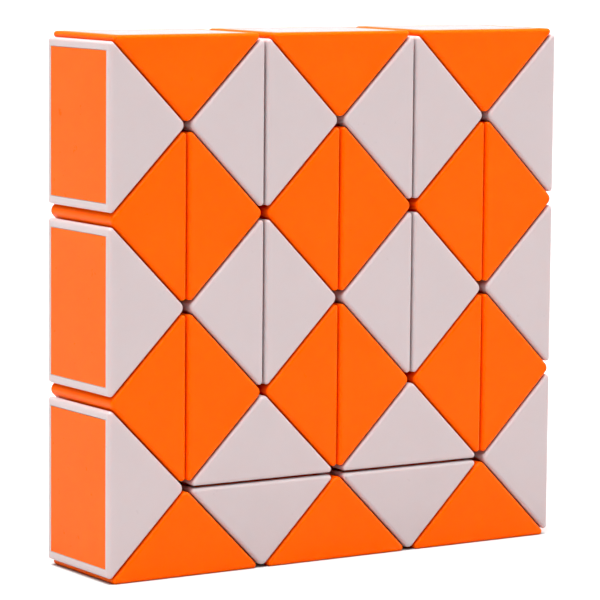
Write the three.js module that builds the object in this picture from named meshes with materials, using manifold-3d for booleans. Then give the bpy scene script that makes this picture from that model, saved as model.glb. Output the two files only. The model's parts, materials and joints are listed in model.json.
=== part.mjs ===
// Twisty snake puzzle: 36 right-angled wedges joined in one chain by 35 sprung swivels, folded into its
// flat square. Millimetres. +X right, +Y back, +Z up. The square stands on its lower edge, centred on
// X and Y, with its lowest faces on Z = 0 and its front face towards -Y.
//
// Each wedge is a hollow shell, open along its long face, and a cover of the other colour snapped into
// that opening. A shouldered screw joins each wedge to the next: its head, washer and spring sit inside
// the first wedge, and its thread holds in the second wedge's boss.
import * as THREE from "three";
import { mergeVertices } from "three/addons/utils/BufferGeometryUtils.js";
import Module from "manifold-3d";

const wasm = await Module();
wasm.setup();

// Driving dimensions
const PITCH = 18; // joining face of a wedge, from seam to seam
const GAP = 0.3; // clearance between neighbouring wedges
const GRID = 6; // seams along each edge of the folded square
const WALL = 1.3; // shell walls along the joining faces
const SIDE_WALL = 1; // shell walls along the triangular sides
const COVER = 1.2; // thickness of a cover
const COVER_FIT = 0.2; // clearance round a cover
const APEX_RADIUS = 0.84; // rounding of the right-angled edge
const TIP_RADIUS = 0.39; // rounding of the two sharp edges
const FINE_SWIVELS = 4; // swivels, from the chain's first, whose screw, washer and spring are separate solids

// Swivel hardware, with Z distances from the point where a wedge's two swivel axes cross
const SCREW = { head: 1.6, headFrom: 3.9, headTo: 4.6, shoulder: 0.8, shoulderTo: 9.5, tip: 12.1 };
const SCREW_THREAD = 0.6; // radius of the screw's threaded end
const WASHER = { outer: 1.8, inner: 1.05, from: 4.75, to: 5.05 };
const SPRING = { coil: 1.45, wire: 0.2, from: 5.2, to: 7.4, turns: 3.5 };
const SWIVEL_HOLE = 1.1; // radius of the hole that the shoulder turns in
const BOSS = { radius: 2.5, height: 2.4, hole: 0.85, floor: 0.6 };

// Worked out from them
const UNIT = PITCH / Math.SQRT2; // half of a long face, and the spacing of the seams
const HALF = PITCH / 2; // from the crossing of the swivel axes to a joining seam
const FACE = HALF - GAP / 2; // from there to the joining face itself
const INNER = FACE - WALL;
const LONG_FACE = (GAP / 2) * Math.SQRT2; // the long face lies where local x + z equals this
const DEPTH = PITCH - GAP;
const EDGE = GRID * UNIT; // edge of the folded square, from seam to seam
const ROUND_SIDES = 20;
const FILLET_STEPS = 3;
const SPRING_STEPS_PER_TURN = 14;

const COLOURS = {
  white: { color: 0xdccfce, roughness: 0.3, metalness: 0 },
  orange: { color: 0xff6c18, roughness: 0.3, metalness: 0 },
  steel: { color: 0xb8bcc0, roughness: 0.35, metalness: 1 },
  springSteel: { color: 0x9a9ea2, roughness: 0.3, metalness: 1 },
};

// A closed three.js geometry as a manifold-3d solid.
function solidFrom(geometry) {
  const bare = geometry.clone();
  bare.deleteAttribute("normal");
  bare.deleteAttribute("uv");
  const merged = mergeVertices(bare, 1e-4);
  return new wasm.Manifold(
    new wasm.Mesh({
      numProp: 3,
      vertProperties: merged.attributes.position.array,
      triVerts: new Uint32Array(merged.index.array),
    }),
  );
}

// A manifold-3d solid as a flat-shaded three.js geometry.
function geometryFrom(solid) {
  const mesh = solid.getMesh();
  const geometry = new THREE.BufferGeometry();
  geometry.setAttribute("position", new THREE.BufferAttribute(mesh.vertProperties, 3));
  geometry.setIndex(new THREE.BufferAttribute(mesh.triVerts, 1));
  const flat = geometry.toNonIndexed();
  flat.computeVertexNormals();
  return flat;
}

// A closed outline through corners [[z, x, radius], ...], each corner rounded to its radius.
function roundedOutline(corners) {
  const outline = new THREE.Shape();
  corners.forEach(([z, x, radius], index) => {
    const corner = new THREE.Vector2(z, x);
    const toNeighbour = (offset) => {
      const [nz, nx] = corners[(index + offset + corners.length) % corners.length];
      return new THREE.Vector2(nz, nx).sub(corner).normalize();
    };
    const back = toNeighbour(-1);
    const ahead = toNeighbour(1);
    const half = Math.acos(back.dot(ahead)) / 2;
    const start = corner.clone().addScaledVector(back, radius / Math.tan(half));
    const inward = back.clone().add(ahead).normalize();
    const centre = corner.clone().addScaledVector(inward, radius / Math.sin(half));
    for (let step = 0; step <= (radius > 0 ? FILLET_STEPS : 0); step += 1) {
      const turn = (step / FILLET_STEPS) * (Math.PI - 2 * half);
      const point = start.clone().rotateAround(centre, turn);
      if (index === 0 && step === 0) outline.moveTo(point.x, point.y);
      else outline.lineTo(point.x, point.y);
    }
  });
  outline.closePath();
  return outline;
}

// An outline drawn in (z, x) and drawn out along y, centred on the wedge's middle plane.
function prism(outline, depth) {
  const geometry = new THREE.ExtrudeGeometry(outline, { depth, bevelEnabled: false });
  geometry.translate(0, 0, -depth / 2);
  const [x, y, z] = [0, 1, 2].map((axis) => new THREE.Vector3().setComponent(axis, 1));
  return geometry.applyMatrix4(new THREE.Matrix4().makeBasis(z, x, y));
}

// A turned piece on the z axis, from a profile of [radius, z] points that closes on the axis or on itself.
function turned(profile) {
  const points = profile.map(([radius, z]) => new THREE.Vector2(radius, z));
  return new THREE.LatheGeometry(points, ROUND_SIDES).rotateX(Math.PI / 2);
}

// A plain cylinder on the z axis.
function rod(radius, from, to) {
  return turned([[0, from], [radius, from], [radius, to], [0, to]]);
}

// The solid wedge: two joining faces at x and z = FACE, and the long face between the two sharp edges.
function wedgeBlock() {
  const sharp = LONG_FACE - FACE;
  const section = roundedOutline([
    [FACE, FACE, APEX_RADIUS],
    [sharp, FACE, TIP_RADIUS],
    [FACE, sharp, TIP_RADIUS],
  ]);
  return solidFrom(prism(section, DEPTH));
}

// The space inside the shell, which runs out through the long face.
function wedgeCavity() {
  const section = roundedOutline([
    [INNER, INNER, 0],
    [-FACE, INNER, 0],
    [INNER, -FACE, 0],
  ]);
  return solidFrom(prism(section, DEPTH - 2 * SIDE_WALL));
}

// The shell of one wedge: its z face takes the screw to the next wedge, and its x face has the boss that
// holds the screw of the wedge before. A chain end leaves one of them out.
function wedgeShell(hasBoss, hasHole) {
  let shell = wedgeBlock().subtract(wedgeCavity());
  if (hasBoss) {
    const turnToX = (geometry) => solidFrom(geometry.rotateY(Math.PI / 2));
    const bossEnd = INNER - BOSS.height;
    const boss = turnToX(rod(BOSS.radius, bossEnd, INNER + WALL / 2));
    const screwHole = turnToX(rod(BOSS.hole, bossEnd + BOSS.floor, HALF));
    shell = shell.add(boss).subtract(screwHole);
  }
  if (hasHole) shell = shell.subtract(solidFrom(rod(SWIVEL_HOLE, INNER - WALL, HALF)));
  return geometryFrom(shell);
}

// The cover: a plate that fills the long face's opening, its two ends sloped to meet the shell's walls.
function coverPlate() {
  const wall = INNER - COVER_FIT;
  const under = LONG_FACE + COVER * Math.SQRT2;
  const section = roundedOutline([
    [LONG_FACE - wall, wall, 0],
    [wall, LONG_FACE - wall, 0],
    [wall, under - wall, 0],
    [under - wall, wall, 0],
  ]);
  return prism(section, DEPTH - 2 * (SIDE_WALL + COVER_FIT));
}

// The shouldered screw, on the z axis of the wedge that holds its head.
function swivelScrew() {
  return turned([
    [0, SCREW.headFrom],
    [SCREW.head, SCREW.headFrom],
    [SCREW.head, SCREW.headTo],
    [SCREW.shoulder, SCREW.headTo],
    [SCREW.shoulder, SCREW.shoulderTo - GAP / 2],
    [SCREW_THREAD, SCREW.shoulderTo],
    [SCREW_THREAD, SCREW.tip - SCREW_THREAD],
    [0, SCREW.tip],
  ]);
}

// The washer between the screw's head and the spring.
function swivelWasher() {
  const { outer, inner, from, to } = WASHER;
  return turned([[inner, from], [outer, from], [outer, to], [inner, to], [inner, from]]);
}

// One winding path of a spring about the z axis.
class Helix extends THREE.Curve {
  getPoint(t, target = new THREE.Vector3()) {
    const angle = 2 * Math.PI * SPRING.turns * t;
    const low = SPRING.from + SPRING.wire;
    const rise = SPRING.to - SPRING.from - 2 * SPRING.wire;
    return target.set(SPRING.coil * Math.cos(angle), SPRING.coil * Math.sin(angle), low + rise * t);
  }
}

// The compression spring that pulls the two wedges together.
function swivelSpring() {
  const section = new THREE.Shape().absarc(0, 0, SPRING.wire, 0, 2 * Math.PI);
  const steps = Math.round(SPRING.turns * SPRING_STEPS_PER_TURN);
  return new THREE.ExtrudeGeometry(section, { steps, curveSegments: 3, extrudePath: new Helix() });
}

// The seams in chain order, as [column, row] cells counted from the square's top left. The chain's first
// and last faces meet at the same seam, so that cell comes both first and last.
function seamCells() {
  const cells = [[0, 1], [0, 0]];
  const last = GRID - 1;
  for (let column = 1; column < last; column += 1) {
    const rows = Array.from({ length: last }, (_, row) => row);
    if (column % 2 === 0) rows.reverse();
    rows.forEach((row) => cells.push([column, row]));
  }
  for (let row = 0; row < GRID; row += 1) cells.push([last, row]);
  for (let column = last - 1; column >= 0; column -= 1) cells.push([column, last]);
  for (let row = last - 1; row >= 1; row -= 1) cells.push([0, row]);
  return cells;
}

// A point of the square's grid, counted from its top left corner, in the part's frame.
function gridPoint(column, row) {
  return new THREE.Vector3((column - GRID / 2) * UNIT, 0, EDGE - row * UNIT - GAP / 2);
}

// Where a wedge's swivel axes cross: the end of the side shared by its two cells that no seam runs to.
function crossing([columnA, rowA], [columnB, rowB]) {
  const column = Math.max(columnA, columnB);
  const row = Math.max(rowA, rowB);
  if ((column + row) % 2 === 1) return [column, row];
  return rowA === rowB ? [column, row + 1] : [column + 1, row];
}

// The place of one wedge: origin at the crossing, x towards the seam before it and z towards the next.
function wedgePlace(cellIn, cellOut) {
  const origin = gridPoint(...crossing(cellIn, cellOut));
  const towards = ([column, row]) => gridPoint(column + 0.5, row + 0.5).sub(origin).normalize();
  const x = towards(cellIn);
  const z = towards(cellOut);
  return new THREE.Matrix4().makeBasis(x, new THREE.Vector3().crossVectors(z, x), z).setPosition(origin);
}

// A named mesh with a material of its own, placed by a matrix.
function placed(name, geometry, colour, place) {
  const mesh = new THREE.Mesh(geometry, new THREE.MeshStandardMaterial(COLOURS[colour]));
  mesh.name = name;
  mesh.applyMatrix4(place);
  return mesh;
}

// True where a wedge's long face lies on the rim of the folded square.
function onRim(cellIn, cellOut) {
  return crossing(cellIn, cellOut).some((value) => value === 0 || value === GRID);
}

// The whole chain, folded.
function snake() {
  const group = new THREE.Group();
  const cells = seamCells();
  const wedges = cells.length - 1;
  const shells = [wedgeShell(false, true), wedgeShell(true, true), wedgeShell(true, false)];
  const [cover, screw, washer, spring] = [coverPlate(), swivelScrew(), swivelWasher(), swivelSpring()];
  for (let index = 0; index < wedges; index += 1) {
    const number = String(index + 1).padStart(2, "0");
    const place = wedgePlace(cells[index], cells[index + 1]);
    const [own, other] = index % 2 === 0 ? ["white", "orange"] : ["orange", "white"];
    const shell = shells[index === 0 ? 0 : index === wedges - 1 ? 2 : 1];
    group.add(placed(`wedge_${number}_shell`, shell, own, place));
    if (onRim(cells[index], cells[index + 1])) {
      group.add(placed(`wedge_${number}_cover`, cover, other, place));
    }
    if (index >= FINE_SWIVELS) continue;
    group.add(placed(`swivel_${number}_screw`, screw, "steel", place));
    group.add(placed(`swivel_${number}_washer`, washer, "steel", place));
    group.add(placed(`swivel_${number}_spring`, spring, "springSteel", place));
  }
  return group;
}

export default snake();
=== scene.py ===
"""A twisty snake puzzle folded into its flat square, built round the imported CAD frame.

Thirty-six right-angled wedges make one chain. Each wedge is a moulded shell, open along its long
face, with a cover of the other colour snapped in. A shouldered screw, a washer and a compression
spring join each wedge to the next. The scene takes every place from the frame's swivels, so each
wedge is drawn once in a frame of its own and then set in place.

A wedge's own frame has its origin where its two swivel axes cross, in the middle of the long face.
Its x axis points to the wedge before, its z axis to the wedge after, and y runs through the wedge's
thickness.
"""

from __future__ import annotations

import json
import logging
import math
from collections.abc import Mapping, Sequence
from dataclasses import dataclass, field
from enum import Enum

import bmesh
import bpy
from mathutils import Matrix, Vector

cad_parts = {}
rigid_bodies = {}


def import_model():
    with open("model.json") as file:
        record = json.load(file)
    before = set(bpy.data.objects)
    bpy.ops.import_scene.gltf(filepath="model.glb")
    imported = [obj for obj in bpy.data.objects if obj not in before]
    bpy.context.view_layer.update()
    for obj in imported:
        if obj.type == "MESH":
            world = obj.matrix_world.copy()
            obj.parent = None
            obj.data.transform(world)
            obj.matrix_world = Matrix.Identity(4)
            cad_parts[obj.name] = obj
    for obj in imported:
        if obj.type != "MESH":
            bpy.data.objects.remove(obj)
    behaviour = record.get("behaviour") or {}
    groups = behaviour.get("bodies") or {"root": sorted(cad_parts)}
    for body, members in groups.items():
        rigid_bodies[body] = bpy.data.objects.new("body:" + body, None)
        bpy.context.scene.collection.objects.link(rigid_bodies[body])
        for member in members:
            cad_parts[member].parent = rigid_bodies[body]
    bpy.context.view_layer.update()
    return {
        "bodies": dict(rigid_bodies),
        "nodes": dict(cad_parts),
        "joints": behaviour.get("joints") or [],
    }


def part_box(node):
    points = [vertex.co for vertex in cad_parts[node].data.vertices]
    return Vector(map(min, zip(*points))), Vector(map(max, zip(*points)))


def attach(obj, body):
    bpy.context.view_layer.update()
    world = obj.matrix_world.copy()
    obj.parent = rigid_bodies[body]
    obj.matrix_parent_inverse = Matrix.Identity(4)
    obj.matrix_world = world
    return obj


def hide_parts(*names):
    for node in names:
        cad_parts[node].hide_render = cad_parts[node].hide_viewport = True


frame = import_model()

log = logging.getLogger("snake")

MM = 0.001
X_AXIS = Vector((1, 0, 0))
Y_AXIS = Vector((0, 1, 0))
Z_AXIS = Vector((0, 0, 1))
# The signs of a rectangle's corners, in order.
RECTANGLE = ((-1, -1), (1, -1), (1, 1), (-1, 1))
# Nearly all of a noise pattern's values lie between these two.
NOISE_LOW, NOISE_HIGH = 0.3, 0.7


# --------------------------------------------------------------------------------------------------
# Colour and shader nodes


def linear(code: str) -> tuple[float, float, float, float]:
    """Turn an sRGB hex colour into the linear colour that a shader takes.

    Args:
        code: Six hex digits, such as "ff6c18".

    Returns:
        Linear red, green, blue and an alpha of 1.
    """
    parts = [int(code[at : at + 2], 16) / 255 for at in (0, 2, 4)]
    red, green, blue = (c / 12.92 if c <= 0.04045 else ((c + 0.055) / 1.055) ** 2.4 for c in parts)
    return (red, green, blue, 1.0)


def add_node(
    tree: bpy.types.NodeTree,
    kind: str,
    inputs: Mapping[str | int, object] | None = None,
    **settings: object,
) -> bpy.types.Node:
    """Add one shader node with its settings, and set or link its inputs.

    Args:
        tree: The node tree that it goes into.
        kind: Blender's name for the node, without the leading "ShaderNode".
        inputs: Socket name or number to a value, or to the output socket that feeds it.
        **settings: The node's own properties.

    Returns:
        The new node.
    """
    node = tree.nodes.new("ShaderNode" + kind)
    for name, value in settings.items():
        setattr(node, name, value)
    for socket, value in (inputs or {}).items():
        if isinstance(value, bpy.types.NodeSocket):
            tree.links.new(value, node.inputs[socket])
        else:
            node.inputs[socket].default_value = value
    return node


class Slot(Enum):
    """The record's material slots."""

    WHITE = "white_abs"
    ORANGE = "orange_abs"
    PLATED = "plated_steel"
    SPRING = "spring_steel"


@dataclass(frozen=True)
class MouldedABS:
    """Coloured ABS, injection-moulded in a polished steel tool.

    The polished tool leaves a semi-gloss skin. Up close the eye finds the faint orange peel of the
    cooled skin, pigment that drifts in slow flow bands, and a film of handling that makes the gloss
    uneven. A little light passes through the plastic, so thin edges glow and seams look warm.
    """

    name: str
    colour: str
    drift: str
    roughness: float = 0.3
    ior: float = 1.54
    sheen: float = 0.12
    scatter: float = 0.6
    scatter_depth: float = 1.3 * MM
    scatter_reach: tuple[float, float, float] = (1.0, 0.3, 0.1)
    flow_band: float = 9 * MM
    handling: float = 2.2 * MM
    duller: float = 0.04
    glossier: float = 0.03
    peel: float = 0.9 * MM
    peel_depth: float = 0.0007 * MM
    # A polished tool leaves a finer grain; it is drawn this coarse so that it shows.
    grain: float = 0.12 * MM
    grain_depth: float = 0.0002 * MM

    def material(self) -> bpy.types.Material:
        """Build the shader.

        Returns:
            The material, named for what it is.
        """
        made = bpy.data.materials.new(self.name)
        made.use_nodes = True
        tree = made.node_tree
        tree.nodes.clear()
        place = add_node(tree, "TexCoord").outputs["Object"]
        flow = add_node(
            tree,
            "TexNoise",
            {"Vector": place, "Scale": 1 / self.flow_band, "Detail": 3.0, "Distortion": 0.8},
        )
        tone = add_node(
            tree,
            "Mix",
            {0: flow.outputs["Fac"], 6: linear(self.colour), 7: linear(self.drift)},
            data_type="RGBA",
        )
        handling = add_node(
            tree,
            "TexNoise",
            {"Vector": place, "Scale": 1 / self.handling, "Detail": 5.0, "Roughness": 0.62},
        )
        gloss = add_node(
            tree,
            "MapRange",
            {
                "Value": handling.outputs["Fac"],
                "From Min": NOISE_LOW,
                "From Max": NOISE_HIGH,
                "To Min": self.roughness - self.glossier,
                "To Max": self.roughness + self.duller,
            },
        )
        peel = add_node(tree, "TexNoise", {"Vector": place, "Scale": 1 / self.peel, "Detail": 2.0})
        grain = add_node(
            tree, "TexNoise", {"Vector": place, "Scale": 1 / self.grain, "Detail": 1.0}
        )
        skin = add_node(
            tree,
            "Bump",
            {"Height": grain.outputs["Fac"], "Distance": self.grain_depth, "Strength": 1.0},
        )
        surface = add_node(
            tree,
            "Bump",
            {
                "Height": peel.outputs["Fac"],
                "Distance": self.peel_depth,
                "Strength": 1.0,
                "Normal": skin.outputs["Normal"],
            },
        )
        shader = add_node(
            tree,
            "BsdfPrincipled",
            {
                "Base Color": tone.outputs[2],
                "Roughness": gloss.outputs[0],
                "Normal": surface.outputs["Normal"],
                "IOR": self.ior,
                "Specular IOR Level": self.sheen,
                "Subsurface Weight": self.scatter,
                "Subsurface Scale": self.scatter_depth,
                "Subsurface Radius": self.scatter_reach,
            },
        )
        add_node(tree, "OutputMaterial", {"Surface": shader.outputs["BSDF"]})
        return made


@dataclass(frozen=True)
class DrawnSteel:
    """Steel that was drawn or turned, bright with a thin zinc or oil film.

    The tool leaves fine lines that spread the highlights, and the film dulls them in patches.
    """

    name: str
    colour: str
    roughness: float
    filmed: str = "8f8a80"
    film: float = 0.7 * MM
    film_change: float = 0.08
    # The tool's real lines are finer; they are drawn this coarse so that they show.
    line: float = 0.08 * MM
    line_depth: float = 0.002 * MM

    def material(self) -> bpy.types.Material:
        """Build the shader.

        Returns:
            The material, named for what it is.
        """
        made = bpy.data.materials.new(self.name)
        made.use_nodes = True
        tree = made.node_tree
        tree.nodes.clear()
        place = add_node(tree, "TexCoord").outputs["Object"]
        lines = add_node(tree, "TexNoise", {"Vector": place, "Scale": 1 / self.line, "Detail": 2.0})
        film = add_node(tree, "TexNoise", {"Vector": place, "Scale": 1 / self.film, "Detail": 4.0})
        tone = add_node(
            tree,
            "Mix",
            {0: film.outputs["Fac"], 6: linear(self.colour), 7: linear(self.filmed)},
            data_type="RGBA",
        )
        gloss = add_node(
            tree,
            "MapRange",
            {
                "Value": film.outputs["Fac"],
                "To Min": self.roughness - self.film_change,
                "To Max": self.roughness + self.film_change,
            },
        )
        bump = add_node(
            tree,
            "Bump",
            {"Height": lines.outputs["Fac"], "Distance": self.line_depth, "Strength": 0.6},
        )
        shader = add_node(
            tree,
            "BsdfPrincipled",
            {
                "Base Color": tone.outputs[2],
                "Roughness": gloss.outputs[0],
                "Normal": bump.outputs["Normal"],
                "Metallic": 1.0,
            },
        )
        add_node(tree, "OutputMaterial", {"Surface": shader.outputs["BSDF"]})
        return made


@dataclass(frozen=True)
class MattPaper:
    """Uncoated background paper, pressed smooth.

    It has no gloss at all, so the eye finds one even pale ground under the toy.
    """

    name: str = "matt_white_paper"
    colour: str = "c6c6c6"
    roughness: float = 0.9

    def material(self) -> bpy.types.Material:
        """Build the shader.

        Returns:
            The material, named for what it is.
        """
        made = bpy.data.materials.new(self.name)
        made.use_nodes = True
        tree = made.node_tree
        tree.nodes.clear()
        shader = add_node(
            tree, "BsdfPrincipled", {"Base Color": linear(self.colour), "Roughness": self.roughness}
        )
        add_node(tree, "OutputMaterial", {"Surface": shader.outputs["BSDF"]})
        return made


class Finishes:
    """The object's finishes, each made once."""

    def __init__(self) -> None:
        """Build the four materials."""
        # Titanium white scatters every colour: a soft, slightly warm white with gleaming edges.
        white = MouldedABS(
            "moulded_white_abs", "b9acad", "b5a8a9", sheen=0.25, scatter_reach=(1.0, 0.5, 0.45)
        )
        # The orange pigment lets only red far in: a saturated face, and seams that turn red.
        orange = MouldedABS("moulded_orange_abs", "ff5d0a", "fd5706", sheen=0.05)
        # Bright zinc over turned steel: a pale, slightly blue metal.
        plated = DrawnSteel("zinc_plated_turned_steel", "c4c7ca", 0.3)
        # Bare drawn wire with an oil film: a darker grey metal.
        wire = DrawnSteel("drawn_spring_wire", "9fa3a6", 0.26)
        self._made = {
            Slot.WHITE: white.material(),
            Slot.ORANGE: orange.material(),
            Slot.PLATED: plated.material(),
            Slot.SPRING: wire.material(),
        }

    def dress(self, piece: bpy.types.Object, slot: Slot) -> None:
        """Give a piece the finish that goes with a record slot.

        Args:
            piece: The piece.
            slot: The record's slot for it.
        """
        piece.data.materials.clear()
        piece.data.materials.append(self._made[slot])


# --------------------------------------------------------------------------------------------------
# Mesh tools


class Cut(Enum):
    """How one solid changes another."""

    AWAY = "DIFFERENCE"
    JOIN = "UNION"


def loft(
    rings: Sequence[Sequence[Vector]], capped: bool = True, looped: bool = False
) -> bpy.types.Mesh:
    """Skin a row of rings that all have the same number of points.

    Args:
        rings: The rings, each a closed loop of points.
        capped: Close the first and the last ring with a face.
        looped: Join the last ring to the first.

    Returns:
        A closed mesh whose faces point out.
    """
    build = bmesh.new()
    rows = [[build.verts.new(point) for point in ring] for ring in rings]
    pairs = list(zip(rows, rows[1:]))
    if looped:
        pairs.append((rows[-1], rows[0]))
    for low, high in pairs:
        for at in range(len(low)):
            ahead = (at + 1) % len(low)
            build.faces.new((low[at], low[ahead], high[ahead], high[at]))
    if capped and not looped:
        build.faces.new(rows[0])
        build.faces.new(rows[-1])
    bmesh.ops.recalc_face_normals(build, faces=build.faces)
    mesh = bpy.data.meshes.new("solid")
    build.to_mesh(mesh)
    build.free()
    return mesh


def ring_about(axis: Vector, radius: float, along: float, sides: int) -> list[Vector]:
    """A ring of points about an axis through the origin.

    Args:
        axis: A unit vector.
        radius: The ring's radius.
        along: How far along the axis it lies.
        sides: How many points it has.

    Returns:
        The points in order.
    """
    across = axis.orthogonal().normalized()
    beside = axis.cross(across)
    angles = [2 * math.pi * side / sides for side in range(sides)]
    return [axis * along + (across * math.cos(a) + beside * math.sin(a)) * radius for a in angles]


def turn(profile: Sequence[tuple[float, float]], axis: Vector, sides: int = 40) -> bpy.types.Mesh:
    """Turn a closed profile about an axis through the origin.

    Args:
        profile: (radius, distance along the axis) points. A radius of 0 at both ends closes it on
            the axis, and otherwise the last point joins the first.
        axis: A unit vector.
        sides: Points round each ring.

    Returns:
        A closed mesh.
    """
    on_axis = profile[0][0] == 0 and profile[-1][0] == 0
    rounds = profile[1:-1] if on_axis else profile
    rings = [ring_about(axis, radius, along, sides) for radius, along in rounds]
    return loft(rings, capped=on_axis, looped=not on_axis)


def cylinder(radius: float, start: float, end: float, axis: Vector) -> bpy.types.Mesh:
    """A plain drill or boss: a cylinder about an axis through the origin."""
    return turn([(0, start), (radius, start), (radius, end), (0, end)], axis, sides=32)


def combine(base: bpy.types.Mesh, tool: bpy.types.Mesh, cut: Cut) -> bpy.types.Mesh:
    """Change one solid by another, and use both up.

    Args:
        base: The solid that stays.
        tool: The solid that cuts or joins it.
        cut: Which of the two it does.

    Returns:
        The result as a new mesh.
    """
    scene = bpy.context.scene
    holder = bpy.data.objects.new("base", base)
    cutter = bpy.data.objects.new("tool", tool)
    for made in (holder, cutter):
        scene.collection.objects.link(made)
    step = holder.modifiers.new("cut", "BOOLEAN")
    step.operation = cut.value
    step.object = cutter
    step.solver = "EXACT"
    graph = bpy.context.evaluated_depsgraph_get()
    result = bpy.data.meshes.new_from_object(holder.evaluated_get(graph))
    for made in (holder, cutter):
        bpy.data.objects.remove(made)
    for used in (base, tool):
        bpy.data.meshes.remove(used)
    return result


def rectangle(
    centre: Vector, along: Vector, beside: Vector, half_length: float, half_width: float
) -> list[Vector]:
    """A ring of four corners.

    Args:
        centre: The rectangle's middle.
        along: A unit vector along its length.
        beside: A unit vector along its width.
        half_length: Half its length.
        half_width: Half its width.

    Returns:
        The corners in order.
    """
    return [centre + along * (half_length * a) + beside * (half_width * b) for a, b in RECTANGLE]


def rounded_outline(
    corners: Sequence[tuple[float, float, float]], steps: int
) -> list[tuple[float, float]]:
    """Round each corner of a closed outline, going anticlockwise.

    Args:
        corners: (x, z, radius) of each sharp corner.
        steps: Straight steps in each rounding.

    Returns:
        The (x, z) points of the rounded outline.
    """
    points = []
    for at, (x, z, radius) in enumerate(corners):
        corner = Vector((x, z))
        back = (Vector(corners[at - 1][:2]) - corner).normalized()
        ahead = (Vector(corners[(at + 1) % len(corners)][:2]) - corner).normalized()
        half = back.angle(ahead) / 2
        centre = corner + (back + ahead).normalized() * (radius / math.sin(half))
        first = corner + back * (radius / math.tan(half)) - centre
        for step in range(steps + 1):
            turned = first.copy()
            turned.rotate(Matrix.Rotation((math.pi - 2 * half) * step / steps, 2))
            points.append(tuple(centre + turned))
    return points


def piece_from(
    name: str, mesh: bpy.types.Mesh, place: Matrix, body: str, smooth_angle: float = 32
) -> bpy.types.Object:
    """Set a copy of a mesh in place as a piece that rides on a body.

    The copy's points are moved themselves, so that each piece's grain is its own.

    Args:
        name: The piece's name.
        mesh: Its shape in the wedge's own frame.
        place: Where that frame is.
        body: The CAD body that it rides on.
        smooth_angle: Edges sharper than this many degrees stay crisp.

    Returns:
        The new object.
    """
    shape = mesh.copy()
    shape.name = name
    shape.transform(place)
    shape.shade_smooth()
    shape.set_sharp_from_angle(angle=math.radians(smooth_angle))
    piece = bpy.data.objects.new(name, shape)
    bpy.context.scene.collection.objects.link(piece)
    flat = piece.modifiers.new("flat_faces_stay_flat", "WEIGHTED_NORMAL")
    flat.keep_sharp = True
    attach(piece, body)
    return piece


# --------------------------------------------------------------------------------------------------
# The wedge


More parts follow.
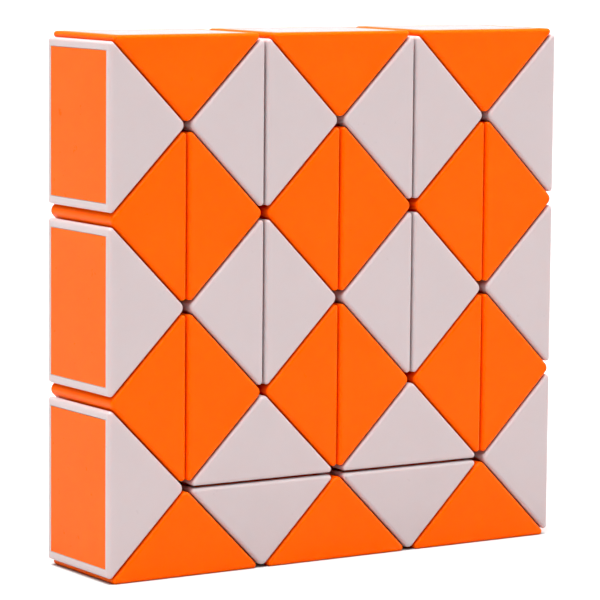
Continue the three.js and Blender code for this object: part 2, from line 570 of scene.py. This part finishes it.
@dataclass
class Wedge:
    """One wedge's shell and cover, drawn in the wedge's own frame. Lengths are in metres.

    The gap lies between wedges that are folded flat beside each other, and the joining gap between
    two that share a swivel. A tighter joining gap would make neighbours rub as the chain turns.
    """

    pitch: float
    gap: float = 0.3 * MM
    joining_gap: float = 0.24 * MM
    least_radius: float = 0.03 * MM
    overshoot: float = 1 * MM
    blunt_end: float = 0.1 * MM
    wall: float = 1.3 * MM
    side_wall: float = 1.0 * MM
    apex_radius: float = 0.96 * MM
    tip_radius: float = 0.48 * MM
    rim: float = 0.55 * MM
    mouth_break: float = 0.07 * MM
    cover_thickness: float = 1.2 * MM
    cover_fit: float = 0.05 * MM
    cover_break: float = 0.09 * MM
    cover_set_back: float = 0.02 * MM
    swivel_hole: float = 1.1 * MM
    boss_radius: float = 2.5 * MM
    boss_height: float = 2.4 * MM
    boss_floor: float = 0.6 * MM
    screw_hole: float = 0.85 * MM
    pad_outer: float = 4.4 * MM
    pad_inner: float = 3.3 * MM
    pad_height: float = 0.09 * MM
    pad_root: float = 0.3 * MM
    pad_edge: float = 0.04 * MM
    click_circle: float = 6.1 * MM
    click_radius: float = 0.85 * MM
    click_height: float = 0.2 * MM
    click_root: float = 0.4 * MM
    click_steps: int = 6
    clicks: int = 4
    round_steps: int = 6
    rim_steps: int = 4
    cover_steps: int = 3

    @property
    def half(self) -> float:
        """From the crossing of the swivel axes to a joining seam."""
        return self.pitch / 2

    @property
    def face(self) -> float:
        """From the crossing of the swivel axes to a joining face."""
        return self.half - self.joining_gap / 2

    @property
    def depth(self) -> float:
        """The wedge's thickness: its joining faces are square."""
        return self.pitch - self.gap

    @property
    def mouth_half(self) -> float:
        """Half the length of the opening in the long face."""
        inner = self.face - self.wall
        return (2 * inner - self.gap / math.sqrt(2)) / math.sqrt(2)

    def section(self, inset: float, height: float) -> list[Vector]:
        """One ring of the wedge's skin.

        Args:
            inset: How far every face has moved in.
            height: The ring's distance from the middle plane.

        Returns:
            The ring's points.
        """
        face = self.face - inset
        long_face = self.gap / 2 * math.sqrt(2) + inset * math.sqrt(2)
        sharp = long_face - face
        tip = max(self.tip_radius - inset, self.least_radius)
        corners = [(face, face, self.apex_radius - inset), (sharp, face, tip), (face, sharp, tip)]
        return [Vector((x, height, z)) for x, z in rounded_outline(corners, self.round_steps)]

    def block(self) -> bpy.types.Mesh:
        """The solid wedge with every edge rounded.

        Returns:
            One closed mesh.
        """
        rings = []
        for side in (-1, 1):
            quarter = [math.pi / 2 * step / self.rim_steps for step in range(self.rim_steps + 1)]
            for angle in quarter if side < 0 else reversed(quarter):
                inset = self.rim * (1 - math.sin(angle))
                height = side * (self.depth / 2 - self.rim * (1 - math.cos(angle)))
                rings.append(self.section(inset, height))
        return loft(rings)

    def mouth_ring(self, below: float, half_length: float, half_width: float) -> list[Vector]:
        """A rectangle parallel to the long face.

        Args:
            below: How far it lies inside the long face.
            half_length: Half its size along the long face.
            half_width: Half its size through the thickness.

        Returns:
            Its four corners.
        """
        inward = (X_AXIS + Z_AXIS).normalized()
        along = (X_AXIS - Z_AXIS).normalized()
        return rectangle(inward * (self.gap / 2 + below), along, Y_AXIS, half_length, half_width)

    def cavity(self) -> bpy.types.Mesh:
        """The hollow inside the shell, with the small break round its mouth.

        Returns:
            The cutting tool for it, which starts outside the long face.
        """
        wide = self.depth / 2 - self.side_wall
        outer_half, outer_wide = self.mouth_half + self.mouth_break, wide + self.mouth_break
        rings = [
            self.mouth_ring(-self.overshoot, outer_half, outer_wide),
            self.mouth_ring(0, outer_half, outer_wide),
            self.mouth_ring(self.mouth_break, self.mouth_half - self.mouth_break, wide),
            self.mouth_ring(self.mouth_half - self.blunt_end, self.blunt_end, wide),
        ]
        return loft(rings)

    def click_spots(self, axis: Vector, distance: float) -> list[Vector]:
        """Where the click nubs or their dimples lie on a joining face.

        Args:
            axis: The face's swivel axis.
            distance: How far along it the face is.

        Returns:
            One centre for each.
        """
        beside = axis.cross(Y_AXIS)
        turns = [math.pi / 4 + 2 * math.pi * at / self.clicks for at in range(self.clicks)]
        spread = [(Y_AXIS * math.cos(a) + beside * math.sin(a)) * self.click_circle for a in turns]
        return [axis * distance + spot for spot in spread]

    def dome(self, centre: Vector, axis: Vector, height: float) -> bpy.types.Mesh:
        """A shallow rounded nub, which is also the tool for its dimple.

        Args:
            centre: Its foot's centre, on the joining face.
            axis: The face's swivel axis.
            height: How far it stands out.

        Returns:
            The dome with a short root below the face.
        """
        profile = [(0.0, -self.click_root), (self.click_radius, -self.click_root)]
        for step in range(self.click_steps):
            angle = math.pi / 2 * step / self.click_steps
            profile.append((self.click_radius * math.cos(angle), height * math.sin(angle)))
        profile.append((0.0, height))
        mesh = turn(profile, axis, sides=20)
        mesh.transform(Matrix.Translation(centre))
        return mesh

    def pad(self, axis: Vector) -> bpy.types.Mesh:
        """The raised ring round a swivel, where two wedges bear on each other.

        Args:
            axis: The swivel's axis.

        Returns:
            The ring, with a root below the face.
        """
        low, high = self.face - self.pad_root, self.face + self.pad_height
        edge = self.pad_edge
        profile = [
            (self.pad_inner, low),
            (self.pad_outer, low),
            (self.pad_outer, high - edge),
            (self.pad_outer - edge, high),
            (self.pad_inner + edge, high),
            (self.pad_inner, high - edge),
        ]
        return turn(profile, axis, sides=48)

    def shell(self, has_boss: bool, has_hole: bool) -> bpy.types.Mesh:
        """The moulded shell.

        Args:
            has_boss: The x face holds the screw of the wedge before.
            has_hole: The z face lets this wedge's own screw through.

        Returns:
            One closed mesh.
        """
        solid = combine(self.block(), self.cavity(), Cut.AWAY)
        inner = self.face - self.wall
        if has_boss:
            end = inner - self.boss_height
            boss = cylinder(self.boss_radius, end, inner + self.wall / 2, X_AXIS)
            solid = combine(solid, boss, Cut.JOIN)
            solid = combine(solid, self.pad(X_AXIS), Cut.JOIN)
            for spot in self.click_spots(X_AXIS, self.face):
                solid = combine(solid, self.dome(spot, X_AXIS, self.click_height), Cut.JOIN)
            drill = cylinder(self.screw_hole, end + self.boss_floor, self.half, X_AXIS)
            solid = combine(solid, drill, Cut.AWAY)
        if has_hole:
            solid = combine(solid, self.pad(Z_AXIS), Cut.JOIN)
            for spot in self.click_spots(Z_AXIS, self.face):
                solid = combine(solid, self.dome(spot, -Z_AXIS, self.click_height), Cut.AWAY)
            drill = cylinder(self.swivel_hole, inner - self.overshoot, self.half, Z_AXIS)
            solid = combine(solid, drill, Cut.AWAY)
        return solid

    def cover(self) -> bpy.types.Mesh:
        """The snap-in cover, its ends sloped to meet the walls inside the shell.

        Returns:
            One closed mesh.
        """
        length = self.mouth_half - self.cover_fit
        width = self.depth / 2 - self.side_wall - self.cover_fit
        rings = []
        for step in range(self.cover_steps + 1):
            angle = math.pi / 2 * step / self.cover_steps
            pull = self.cover_break * (1 - math.sin(angle))
            below = self.cover_set_back + self.cover_break * (1 - math.cos(angle))
            rings.append(self.mouth_ring(below, length - below - pull, width - pull))
        under = self.cover_set_back + self.cover_thickness
        rings.append(self.mouth_ring(under, length - under, width))
        return loft(rings)


@dataclass
class Swivel:
    """The hardware of one swivel, on the z axis of the wedge that holds the screw's head.

    The sizes named from and to are distances along that axis, in metres. A crest's two are shares
    of the thread's pitch.
    """

    head_radius: float = 1.6 * MM
    head_from: float = 3.9 * MM
    head_to: float = 4.6 * MM
    head_edge: float = 0.18 * MM
    head_steps: int = 4
    shoulder_radius: float = 0.8 * MM
    shoulder_to: float = 9.3 * MM
    undercut: float = 0.1 * MM
    thread_radius: float = 0.72 * MM
    thread_core: float = 0.5 * MM
    thread_pitch: float = 0.4 * MM
    crest_from: float = 0.45
    crest_to: float = 0.55
    point: float = 0.7 * MM
    tip: float = 12.1 * MM
    slot_width: float = 0.42 * MM
    slot_length: float = 1.9 * MM
    slot_depth: float = 0.4 * MM
    slot_taper: float = 0.55
    overshoot: float = 0.5 * MM
    washer_outer: float = 1.8 * MM
    washer_inner: float = 1.05 * MM
    washer_from: float = 4.75 * MM
    washer_to: float = 5.05 * MM
    washer_edge: float = 0.07 * MM
    coil_radius: float = 1.45 * MM
    wire: float = 0.2 * MM
    spring_from: float = 5.2 * MM
    spring_to: float = 7.4 * MM
    coils: float = 4.5
    closed_coils: float = 0.75
    steps_per_coil: int = 22
    wire_sides: int = 10

    def screw(self) -> bpy.types.Mesh:
        """The shouldered screw: domed head with a cross recess, plain shoulder and cut thread.

        Returns:
            One closed mesh.
        """
        edge = self.head_edge
        profile = [(0.0, self.head_from)]
        for step in range(self.head_steps + 1):
            angle = math.pi / 2 * step / self.head_steps
            radius = self.head_radius - edge * (1 - math.sin(angle))
            profile.append((radius, self.head_from + edge * (1 - math.cos(angle))))
        profile.append((self.head_radius, self.head_to))
        profile.append((self.shoulder_radius, self.head_to))
        profile.append((self.shoulder_radius, self.shoulder_to))
        start = self.shoulder_to + self.undercut
        threads = int((self.tip - self.point - start) / self.thread_pitch)
        for turn_at in range(threads):
            root = start + turn_at * self.thread_pitch
            profile.append((self.thread_core, root))
            profile.append((self.thread_radius, root + self.thread_pitch * self.crest_from))
            profile.append((self.thread_radius, root + self.thread_pitch * self.crest_to))
        profile.append((self.thread_core, start + threads * self.thread_pitch))
        profile.append((0.0, self.tip))
        solid = turn(profile, Z_AXIS, sides=24)
        for across in (X_AXIS, Y_AXIS):
            solid = combine(solid, self.recess(across), Cut.AWAY)
        return solid

    def recess(self, along: Vector) -> bpy.types.Mesh:
        """One arm of the cross recess in the head, as a cutting tool.

        Args:
            along: The way that the arm runs.

        Returns:
            The tool, which starts outside the head.
        """
        beside = Z_AXIS.cross(along)
        rings = []
        for height, shrink in ((-self.overshoot, 1.0), (self.slot_depth, self.slot_taper)):
            half_long, half_wide = self.slot_length / 2 * shrink, self.slot_width / 2 * shrink
            centre = Z_AXIS * (self.head_from + height)
            rings.append(rectangle(centre, along, beside, half_long, half_wide))
        return loft(rings)

    def washer(self) -> bpy.types.Mesh:
        """The stamped washer, with its edges broken.

        Returns:
            One closed mesh.
        """
        inner, outer, edge = self.washer_inner, self.washer_outer, self.washer_edge
        low, high = self.washer_from, self.washer_to
        profile = [
            (inner + edge, low),
            (outer - edge, low),
            (outer, low + edge),
            (outer, high - edge),
            (outer - edge, high),
            (inner + edge, high),
            (inner, high - edge),
            (inner, low + edge),
        ]
        return turn(profile, Z_AXIS, sides=36)

    def spring(self) -> bpy.types.Mesh:
        """The compression spring: open coils between two closed end coils.

        Returns:
            One closed mesh.
        """
        steps = int(self.coils * self.steps_per_coil)
        low, high = self.spring_from + self.wire, self.spring_to - self.wire
        closed = self.closed_coils / self.coils
        circle = [2 * math.pi * at / self.wire_sides for at in range(self.wire_sides)]
        rings = []
        for step in range(steps + 1):
            share = step / steps
            angle = 2 * math.pi * self.coils * share
            out = Vector((math.cos(angle), math.sin(angle), 0))
            first = min(share, closed) / closed
            last = (max(share, 1 - closed) - 1 + closed) / closed
            open_lift = min(max((share - closed) / (1 - 2 * closed), 0.0), 1.0)
            height = low + self.wire * (first + last) + (high - low - 2 * self.wire) * open_lift
            centre = out * self.coil_radius + Z_AXIS * height
            around = [out * math.cos(a) + Z_AXIS * math.sin(a) for a in circle]
            rings.append([centre + way * self.wire for way in around])
        return loft(rings)


# --------------------------------------------------------------------------------------------------
# The chain


@dataclass
class Chain:
    """Where each wedge of the chain lies, worked out from the frame's swivels."""

    joints: Mapping[str, dict]
    wedges: int
    pitch: float = field(init=False)

    def __post_init__(self) -> None:
        """Measure the pitch: a wedge's two swivels are a face's half diagonal apart."""
        self.pitch = (self.spot(2) - self.spot(1)).length * math.sqrt(2)

    def swivel(self, number: int) -> dict:
        """The frame's joint between a wedge and the next."""
        return self.joints[f"swivel_{number:02d}"]

    def spot(self, number: int) -> Vector:
        """The middle of the seam between a wedge and the next."""
        return Vector(self.swivel(number)["pos_m"])

    def ahead(self, number: int) -> Vector:
        """The way from a wedge to the next, along their swivel.

        Args:
            number: The first wedge's number, from 1.

        Returns:
            A unit vector.
        """
        joint = self.swivel(number)
        way = Vector(joint["axis"]).normalized()
        return way if joint["parent"] == f"wedge_{number:02d}" else -way

    def place(self, number: int) -> Matrix:
        """The frame of one wedge.

        Args:
            number: The wedge's number, from 1.

        Returns:
            A matrix whose columns are the wedge's own axes and its origin.
        """
        half = self.pitch / 2
        if number < self.wedges:
            z_axis = self.ahead(number)
            origin = self.spot(number) - z_axis * half
        else:
            origin = self.spot(number - 1) + self.ahead(number - 1) * half
            z_axis = self.free_way(number, origin, -self.ahead(number - 1))
        if number > 1:
            x_axis = -self.ahead(number - 1)
        else:
            x_axis = self.free_way(number, origin, z_axis)
        y_axis = z_axis.cross(x_axis)
        place = Matrix((x_axis, y_axis, z_axis)).transposed().to_4x4()
        place.translation = origin
        return place

    def free_way(self, number: int, origin: Vector, joined: Vector) -> Vector:
        """The way out of a chain end's free face: square to its joined face, on its shell's side.

        Args:
            number: The wedge's number.
            origin: Where its axes cross.
            joined: The way out of its joined face.

        Returns:
            A unit vector.
        """
        low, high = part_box(f"wedge_{number:02d}_shell")
        side = joined.cross(Y_AXIS)
        return side if ((low + high) / 2 - origin).dot(side) > 0 else -side


@dataclass
class Snake:
    """The whole toy: every wedge and every swivel's hardware."""

    chain: Chain
    finishes: Finishes
    nodes: Mapping[str, bpy.types.Object]

    def colours(self, number: int) -> tuple[Slot, Slot]:
        """The slots of a wedge's shell and of its cover: the two colours take turns."""
        return (Slot.WHITE, Slot.ORANGE) if number % 2 else (Slot.ORANGE, Slot.WHITE)

    def add(
        self, name: str, mesh: bpy.types.Mesh, number: int, rider: int, slot: Slot, node: str
    ) -> None:
        """Set one piece in place, dress it and hide the CAD node that it stands for, if the frame
        has one.

        Args:
            name: The piece's name.
            mesh: Its shape in the wedge's own frame.
            number: The wedge in whose frame it is drawn.
            rider: The wedge that it moves with.
            slot: Its finish.
            node: The CAD node that it stands for, where the frame has it.
        """
        piece = piece_from(name, mesh, self.chain.place(number), f"wedge_{rider:02d}")
        self.finishes.dress(piece, slot)
        if node in self.nodes:
            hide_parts(node)
        log.info("%s rides on wedge %d", name, rider)

    def build_wedges(self, wedge: Wedge) -> None:
        """Set every shell and every cover in place.

        Args:
            wedge: The sizes to build them with.
        """
        shapes: dict[tuple[bool, bool], bpy.types.Mesh] = {}
        cover = wedge.cover()
        for number in range(1, self.chain.wedges + 1):
            kind = (number > 1, number < self.chain.wedges)
            if kind not in shapes:
                shapes[kind] = wedge.shell(*kind)
            own, other = self.colours(number)
            name = f"{number:02d}"
            self.add(f"shell_{name}", shapes[kind], number, number, own, f"wedge_{name}_shell")
            self.add(f"cover_{name}", cover, number, number, other, f"wedge_{name}_cover")

    def build_swivels(self, swivel: Swivel) -> None:
        """Set every screw, washer and spring in place.

        Args:
            swivel: The sizes to build them with.
        """
        screw, washer, spring = swivel.screw(), swivel.washer(), swivel.spring()
        for number in range(1, self.chain.wedges):
            name, node = f"{number:02d}", f"swivel_{number:02d}"
            self.add(f"screw_{name}", screw, number, number + 1, Slot.PLATED, f"{node}_screw")
            self.add(f"washer_{name}", washer, number, number, Slot.PLATED, f"{node}_washer")
            self.add(f"spring_{name}", spring, number, number, Slot.SPRING, f"{node}_spring")


# --------------------------------------------------------------------------------------------------
# The studio


def bearing(azimuth: float, elevation: float) -> Vector:
    """The way from the toy to something that stands round it.

    Args:
        azimuth: Degrees round the toy; 0 is in front.
        elevation: Degrees above the horizon.

    Returns:
        A unit vector.
    """
    turned, lifted = math.radians(azimuth), math.radians(elevation)
    level = Vector((math.sin(turned), -math.cos(turned), 0))
    return level * math.cos(lifted) + Z_AXIS * math.sin(lifted)


@dataclass
class Studio:
    """A pale floor, soft lights and the camera."""

    azimuth: float = -33.0
    elevation: float = 6.75
    roll: float = 0.5
    distance: float = 483.5 * MM
    aim: Vector = field(default_factory=lambda: Vector((-0.92, 0.27, 36.8)) * MM)
    lens: float = 199.4
    near_clip: float = 0.01
    far_clip: float = 50.0
    floor_half: float = 30.0
    glow: float = 0.4
    black_level: float = 0.006

    def build_camera(self) -> None:
        """Stand the camera a little above the toy and to its left."""
        back = bearing(self.azimuth, self.elevation)
        level = bearing(self.azimuth + 90, 0)
        tilt = math.radians(self.roll)
        right = level * math.cos(tilt) + back.cross(level) * math.sin(tilt)
        place = Matrix((right, back.cross(right), back)).transposed().to_4x4()
        place.translation = self.aim + back * self.distance
        data = bpy.data.cameras.new("camera")
        data.lens = self.lens
        data.clip_start, data.clip_end = self.near_clip, self.far_clip
        camera = bpy.data.objects.new("camera", data)
        camera.matrix_world = place
        bpy.context.scene.collection.objects.link(camera)
        bpy.context.scene.camera = camera

    def build_floor(self) -> None:
        """Lay the pale floor that the toy stands on."""
        build = bmesh.new()
        corners = rectangle(Vector(), X_AXIS, Y_AXIS, self.floor_half, self.floor_half)
        build.faces.new([build.verts.new(corner) for corner in corners])
        mesh = bpy.data.meshes.new("floor")
        build.to_mesh(mesh)
        build.free()
        floor = bpy.data.objects.new("floor", mesh)
        bpy.context.scene.collection.objects.link(floor)
        mesh.materials.append(MattPaper().material())

    def build_light(self, name: str, way: Vector, strength: float, spread: float) -> None:
        """Shine one soft light from far off, as from a large diffuser.

        Args:
            name: Its name.
            way: The way to it from the toy, as a unit vector.
            strength: What it gives a surface that faces it.
            spread: How wide the diffuser looks from the toy, in degrees.
        """
        data = bpy.data.lights.new(name, "SUN")
        data.energy = strength
        data.angle = math.radians(spread)
        light = bpy.data.objects.new(name, data)
        light.location = self.aim + way
        light.rotation_mode = "QUATERNION"
        light.rotation_quaternion = way.to_track_quat("Z", "Y")
        bpy.context.scene.collection.objects.link(light)

    def build(self) -> None:
        """Build the camera, the floor, the room's glow and the lights."""
        scene = bpy.context.scene
        scene.view_settings.view_transform = "Standard"
        scene.view_settings.use_curve_mapping = True
        scene.view_settings.curve_mapping.black_level = (self.black_level,) * 3
        self.build_camera()
        self.build_floor()
        world = bpy.data.worlds.new("room")
        world.use_nodes = True
        glow = world.node_tree.nodes["Background"]
        glow.inputs["Color"].default_value = linear("ffffff")
        glow.inputs["Strength"].default_value = self.glow
        scene.world = world
        above = bearing(azimuth=-62, elevation=80)
        beside = bearing(azimuth=78, elevation=20)
        self.build_light("top_diffuser", above, strength=8.0, spread=60)
        self.build_light("right_diffuser", beside, strength=0.9, spread=50)


def main() -> None:
    """Build the toy and the studio round the frame."""
    logging.basicConfig(level=logging.INFO, format="%(name)s: %(message)s")
    wedges = len(frame["bodies"])
    chain = Chain({joint["name"]: joint for joint in frame["joints"]}, wedges)
    log.info("the pitch is %.3f mm", chain.pitch / MM)
    snake = Snake(chain, Finishes(), frame["nodes"])
    snake.build_wedges(Wedge(chain.pitch))
    snake.build_swivels(Swivel())
    Studio().build()


if __name__ == "__main__":
    main()
